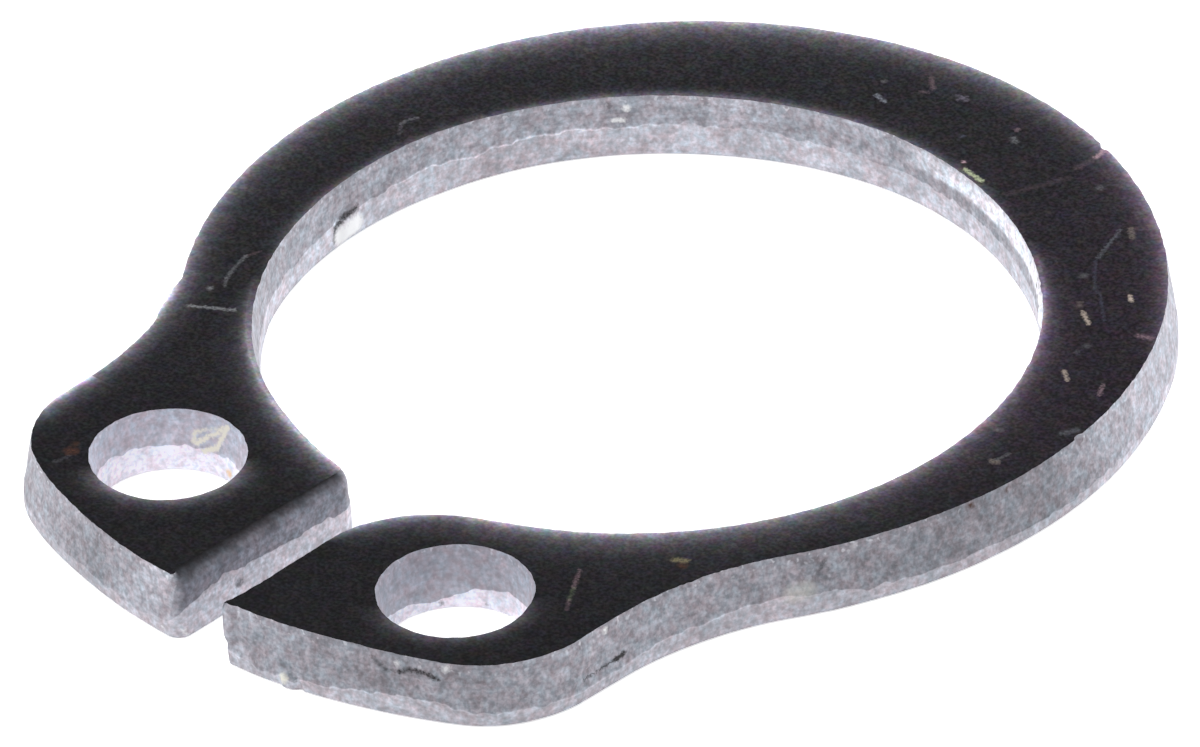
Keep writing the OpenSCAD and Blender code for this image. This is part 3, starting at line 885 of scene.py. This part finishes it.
def edge_glare(n, p):
    """How much paler the coat is painted near its edges, as painted glare."""
    flat = n.vmath("MULTIPLY", p, (1, 1, 0)).outputs[0]
    xyz = n.new("ShaderNodeSeparateXYZ", {0: flat})
    x, y = xyz.outputs[0], xyz.outputs[1]
    away = n.vmath("DOT_PRODUCT", flat, AWAY).outputs["Value"]

    def gap_to(centre, r, at=flat):
        """How far outside a circle a place is."""
        dist = n.vmath("DISTANCE", at, (*centre, 0.0)).outputs["Value"]
        return n.math("SUBTRACT", dist, r)

    def choose(test, a, b):
        """a where test is above zero, b elsewhere."""
        t = n.math("GREATER_THAN", test, 0.0)
        return n.math("ADD", n.times(t, a), n.times(n.math("SUBTRACT", 1.0, t), b))

    def fade(d, reach):
        return n.math("EXPONENT", n.math("DIVIDE", n.math("MAXIMUM", d, 0.0), -reach))

    def band(d, mask, centre):
        """Both bands at a distance from an edge that faces a centre."""
        rel = n.vmath("SUBTRACT", flat, (*centre, 0.0)).outputs[0]
        rel = n.vmath("NORMALIZE", rel).outputs[0]
        turned = n.math("ABSOLUTE", n.vmath("DOT_PRODUCT", rel, AWAY).outputs["Value"])
        d = n.times(d, n.ramp(n.math("POWER", turned, 2.0), 0.0, 1.0, NARROWER, 1.0))
        both = n.math("ADD", n.times(fade(d, BROAD_REACH), BROAD),
                      n.times(fade(d, NARROW_REACH), NARROW))
        return n.times(both, mask)

    disc = n.times(gap_to(OUTER_C, OUTER_R - EDGE_AT), -1.0)
    neck = gap_to(mirrored(NECK_C), NECK_R + EDGE_AT)
    side = n.math("ADD", x, SIDE_X - SIDE_EDGE_AT)
    outer = choose(n.math("SUBTRACT", y, NECK_TOP_Y), disc,
                   choose(n.math("SUBTRACT", y, NECK_C[1]), neck, side))
    left_lug = n.times(n.ramp(x, *LEFT_LUG_X), n.ramp(away, *LEFT_LUG_SHOWS))
    glare = band(outer, n.math("MAXIMUM", left_lug, n.ramp(away, *OUTER_SHOWS)), OUTER_C)

    folded = n.new("ShaderNodeCombineXYZ", {0: n.math("ABSOLUTE", x), 1: y}).outputs[0]
    ease = gap_to(RIGHT_EASE_C, EASE_R + BORE_EDGE_AT, folded)
    bore = gap_to(CENTRE, BORE_R + BORE_EDGE_AT)
    steep = n.times(y, -math.tan(EASE_ANGLE))
    inner = choose(n.math("SUBTRACT", steep, n.math("ABSOLUTE", x)), ease, bore)
    glare = n.math("MAXIMUM", glare, band(inner, n.ramp(away, *INNER_SHOWS), CENTRE))

    corner = n.times(gap_to(RIGHT_CORNER_C, RIGHT_CORNER_R - EDGE_AT), -1.0)
    here = n.ramp(y, RIGHT_CORNER_C[1], RIGHT_CORNER_C[1] + CORNER_RISE, 0.0, CORNER_SHOWS)
    for test, value, limit in (("GREATER_THAN", x, CORNER_X[0]), ("LESS_THAN", y, 0.0),
                               ("LESS_THAN", x, CORNER_X[1])):
        here = n.times(here, n.math(test, value, limit))
    glare = n.math("MAXIMUM", glare, band(corner, here, CENTRE))

    far = fade(gap_to(CENTRE, BORE_R + BORE_FAR_AT), NARROW_REACH)
    glare = n.math("MAXIMUM", glare, n.times(far, n.ramp(away, *FAR_SHOWS)))

    for hole_x, share in ((-HOLE_X, LEFT_HOLE_GLARE), (HOLE_X, RIGHT_HOLE_GLARE)):
        rim = fade(gap_to((hole_x, HOLE_Y), HOLE_R + HOLE_EDGE_AT), HOLE_REACH)
        rel = n.vmath("SUBTRACT", flat, (hole_x, HOLE_Y, 0.0)).outputs[0]
        side_of = n.vmath("DOT_PRODUCT", rel, AWAY).outputs["Value"]
        rim = n.times(rim, n.ramp(side_of, *HOLE_SHOWS, 0.0, share))
        glare = n.math("MAXIMUM", glare, rim)
    return glare


# The black coat, from its darkest grain to its palest. It is painted paler towards the ring's
# far side as a painted sheen, and it is purple at the far right.
COAT_DARK, COAT_PALE = 0.0055, 0.0175
COAT_FAR_SHEEN = (-6.5, 1.0, 0.85, 1.35)
COAT_TINT = (1.03, 0.97, 1.13, 1)
PURPLE_TINT = (1.14, 0.93, 1.08, 1)
PURPLE_X, PURPLE_Y = (0.5, 4.5), (-2.0, 2.0)
# Noise in the coat's colour: cells per millimetre, share
COAT_HUES = ((18, 0.3), (6, 0.35))
COAT_BUMP = 0.004

# The bare steel: its two tints, the noise between them, and the painted glints in its grain
STEEL_TINTS = ((1.045, 0.98, 0.985, 1), (0.965, 1.01, 1.03, 1))
STEEL_HUES = (12, 4)
GLINT_COLOUR, GLINT_SHARE = (0.8, 0.8, 0.85, 1), 0.55
STREAK_ALONG, STREAK_UP = 1.4, 20
STEEL_METAL, STEEL_SPECULAR, COAT_SPECULAR = 0.3, 0.3, 0.1
STEEL_BUMP = 0.006


def black_phosphate():
    n = Nodes("black_phosphate")
    p, shaken = n.place()
    grain = n.noise(p, 20, 2, 0.5).outputs["Fac"]
    mottle = n.noise(p, 7, 2, 0.5).outputs["Fac"]
    cloud = n.noise(p, 0.9, 3, 0.5).outputs["Fac"]
    xyz = n.new("ShaderNodeSeparateXYZ", {0: p})
    x, y = xyz.outputs[0], xyz.outputs[1]
    v = n.ramp(grain, 0.36, 0.64, COAT_DARK, COAT_PALE)
    v = n.times(v, n.ramp(mottle, 0.35, 0.65, 0.82, 1.18))
    v = n.times(v, n.ramp(cloud, 0.3, 0.7, 0.9, 1.1))
    # painted sheen: the coat is painted paler towards the far side
    v = n.times(v, n.ramp(y, *COAT_FAR_SHEEN))
    # painted glare: the coat is painted paler along its edges
    glare = n.times(edge_glare(n, p), n.ramp(grain, 0.36, 0.64, 0.85, 1.15))
    v = n.math("ADD", v, n.times(glare, n.ramp(mottle, 0.35, 0.65, 0.85, 1.15)))
    colour = n.mix(1.0, n.grey(v), COAT_TINT, "MULTIPLY")
    purple = n.times(n.ramp(x, *PURPLE_X), n.ramp(y, *PURPLE_Y))
    colour = n.mix(purple, colour, n.mix(1.0, colour, PURPLE_TINT, "MULTIPLY"))
    for scale, share in COAT_HUES:
        hue = n.noise(p, scale, 1).outputs["Color"]
        hue = n.mix(1.0, hue, (2, 2, 2, 1), "MULTIPLY")
        colour = n.mix(share, colour, n.mix(1.0, colour, hue, "MULTIPLY"))
    broken = n.ramp(n.noise(p, 30, 1).outputs["Fac"], 0.35, 0.6, 0.45, 1.2)
    marks = [([(*q, SHEET_T) for q in points], *rest) for points, *rest in TOP_MARKS]
    colour = n.marks(shaken, colour, marks, broken)
    bump = n.new("ShaderNodeBump", {"Strength": 0.5, "Distance": COAT_BUMP * MM, "Height": grain})
    bsdf = n.new("ShaderNodeBsdfPrincipled", {
        "Base Color": colour, "Roughness": n.ramp(grain, 0.3, 0.7, 0.5, 0.65),
        "Specular IOR Level": COAT_SPECULAR, "Normal": bump.outputs[0]})
    return n.out(bsdf.outputs[0])


def sheared_steel(mesh):
    """The walls' colour comes with the mesh, and the strength of the grain in its alpha."""
    n = Nodes("sheared_steel")
    p, shaken = n.place()
    tint = n.new("ShaderNodeAttribute", attribute_name="tint")
    tint, strength = tint.outputs["Color"], tint.outputs["Alpha"]
    run = n.new("ShaderNodeAttribute", attribute_name="run").outputs["Fac"]
    z = n.new("ShaderNodeSeparateXYZ", {0: p}).outputs[2]
    grain = n.noise(p, 19, 2, 0.5).outputs["Fac"]
    mottle = n.noise(p, 8, 2, 0.55).outputs["Fac"]
    cloud = n.noise(p, 2.6, 2, 0.5).outputs["Fac"]
    along = n.new("ShaderNodeCombineXYZ", {0: n.times(run, STREAK_ALONG), 1: n.times(z, STREAK_UP)})
    streak = n.noise(along.outputs[0], 1, 2, 0.6).outputs["Fac"]
    k = n.times(n.ramp(grain, 0.36, 0.64, 0.84, 1.17), n.ramp(mottle, 0.35, 0.65, 0.78, 1.22))
    k = n.times(k, n.ramp(cloud, 0.32, 0.68, 0.87, 1.13))
    k = n.times(k, n.ramp(streak, 0.3, 0.7, 0.92, 1.08))
    k = n.math("ADD", 1.0, n.times(n.math("SUBTRACT", k, 1.0), strength))
    colour = n.mix(1.0, tint, n.grey(k), "MULTIPLY")
    for scale in STEEL_HUES:
        turn = n.ramp(n.noise(p, scale, 1).outputs["Fac"], 0.35, 0.65)
        colour = n.mix(1.0, colour, n.mix(turn, *STEEL_TINTS), "MULTIPLY")
    # the red of the tint tells the pale bare steel from the dark coat
    red = n.new("ShaderNodeSeparateColor", {0: tint}).outputs[0]
    # painted glints: pale specks in the grain, mostly near the top edge
    glint = n.ramp(n.noise(p, 17, 0).outputs["Fac"], 0.67, 0.77, 0.0, GLINT_SHARE)
    glint = n.times(glint, n.ramp(z, 0.74, 0.86, 0.25, 1.0))
    glint = n.times(glint, n.ramp(red, 0.22, 0.3))
    colour = n.mix(glint, colour, GLINT_COLOUR)
    broken = n.ramp(n.noise(p, 34, 1).outputs["Fac"], 0.3, 0.6, 0.7, 1.1)
    marks = [(onto_wall(mesh, points), *rest) for points, *rest in WALL_MARKS]
    colour = n.marks(shaken, colour, marks, broken)
    h = n.math("ADD", grain, mottle)
    bump = n.new("ShaderNodeBump", {"Strength": 0.5, "Distance": STEEL_BUMP * MM, "Height": h})
    bsdf = n.new("ShaderNodeBsdfPrincipled", {
        "Base Color": colour, "Metallic": n.ramp(red, 0.05, 0.2, 0.0, STEEL_METAL),
        "Roughness": 0.5, "Normal": bump.outputs[0],
        "Specular IOR Level": n.ramp(red, 0.05, 0.2, COAT_SPECULAR, STEEL_SPECULAR)})
    return n.out(bsdf.outputs[0])


ring = make_ring()
ring.data.materials.append(black_phosphate())
ring.data.materials.append(sheared_steel(ring.data))
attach(ring, "root")
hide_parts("ring")


# The floor glows to white where it is seen, and lights the ring only by what it reflects
FLOOR_COLOUR, FLOOR_GLOW, FLOOR_HALF = (0.8, 0.8, 0.8, 1), 0.62, 0.6


def floor_material():
    n = Nodes("pale_floor")
    path = n.new("ShaderNodeLightPath")
    seen = n.math("MAXIMUM", path.outputs["Is Camera Ray"], path.outputs["Is Glossy Ray"])
    diffuse = n.new("ShaderNodeBsdfDiffuse", {"Color": FLOOR_COLOUR})
    strength = n.times(seen, FLOOR_GLOW)
    glow = n.new("ShaderNodeEmission", {"Color": (1, 1, 1, 1), "Strength": strength})
    both = n.new("ShaderNodeAddShader", {0: diffuse.outputs[0], 1: glow.outputs[0]})
    return n.out(both.outputs[0])


mesh = bpy.data.meshes.new("floor")
mesh.from_pydata([(-FLOOR_HALF, -FLOOR_HALF, 0), (FLOOR_HALF, -FLOOR_HALF, 0),
                  (FLOOR_HALF, FLOOR_HALF, 0), (-FLOOR_HALF, FLOOR_HALF, 0)], [], [(0, 1, 2, 3)])
floor = bpy.data.objects.new("floor", mesh)
bpy.context.scene.collection.objects.link(floor)
floor.data.materials.append(floor_material())

SKY_COLOUR, SKY_STRENGTH = (0.95, 0.96, 1.0, 1), 0.34
world = bpy.data.worlds.new("studio")
bpy.context.scene.world = world
world.use_nodes = True
w = world.node_tree
w.nodes.clear()
path = w.nodes.new("ShaderNodeLightPath")
back = w.nodes.new("ShaderNodeBackground")
back.inputs["Color"].default_value = (1, 1, 1, 1)
soft = w.nodes.new("ShaderNodeBackground")
soft.inputs["Color"].default_value = SKY_COLOUR
soft.inputs["Strength"].default_value = SKY_STRENGTH
mixer = w.nodes.new("ShaderNodeMixShader")
world_out = w.nodes.new("ShaderNodeOutputWorld")
w.links.new(path.outputs["Is Camera Ray"], mixer.inputs[0])
w.links.new(soft.outputs[0], mixer.inputs[1])
w.links.new(back.outputs[0], mixer.inputs[2])
w.links.new(mixer.outputs[0], world_out.inputs[0])


def area(name, azimuth, elevation, away, size, watts, colour=(1, 1, 1)):
    """A soft panel that faces the ring from a direction, at a distance."""
    data = bpy.data.lights.new(name, "AREA")
    data.shape, data.size, data.energy, data.color = "SQUARE", size, watts, colour
    ob = bpy.data.objects.new(name, data)
    az, el = math.radians(azimuth), math.radians(elevation)
    to = Vector((math.cos(az) * math.cos(el), math.sin(az) * math.cos(el), math.sin(el)))
    ob.location = to * away
    ob.rotation_euler = to.to_track_quat("Z", "Y").to_euler()
    bpy.context.scene.collection.objects.link(ob)


area("top_panel", -100, 72, 0.30, 0.12, 0.53)
area("right_panel", 72, 18, 0.20, 0.10, 0.28, (0.95, 0.97, 1.0))
area("left_panel", -152, 22, 0.20, 0.10, 0.15, (0.96, 0.97, 1.0))

# The camera stands where the photograph's edges put it
AZIMUTH, ELEVATION, TWIST = math.radians(43.8613), math.radians(33.552), math.radians(-2.575)
AIM = Vector((0.0925, -0.9993, 0.4636)) * MM
DISTANCE = 463.6 * MM
LENS, SENSOR = 1070.2, 36
CLIP_START, CLIP_END = 0.01, 5
away = Vector((math.sin(AZIMUTH) * math.cos(ELEVATION),
               -math.cos(AZIMUTH) * math.cos(ELEVATION), math.sin(ELEVATION)))
right = Vector((math.cos(AZIMUTH), math.sin(AZIMUTH), 0))
up = away.cross(right)
cam_x = right * math.cos(TWIST) + up * math.sin(TWIST)
cam_y = up * math.cos(TWIST) - right * math.sin(TWIST)
camera = bpy.data.objects.new("camera", bpy.data.cameras.new("camera"))
bpy.context.scene.collection.objects.link(camera)
camera.data.lens, camera.data.sensor_width = LENS, SENSOR
camera.data.clip_start, camera.data.clip_end = CLIP_START, CLIP_END
turn = Matrix((cam_x, cam_y, away)).transposed().to_4x4()
camera.matrix_world = Matrix.Translation(AIM + away * DISTANCE) @ turn
bpy.context.scene.camera = camera
bpy.context.scene.view_settings.view_transform = "Standard"
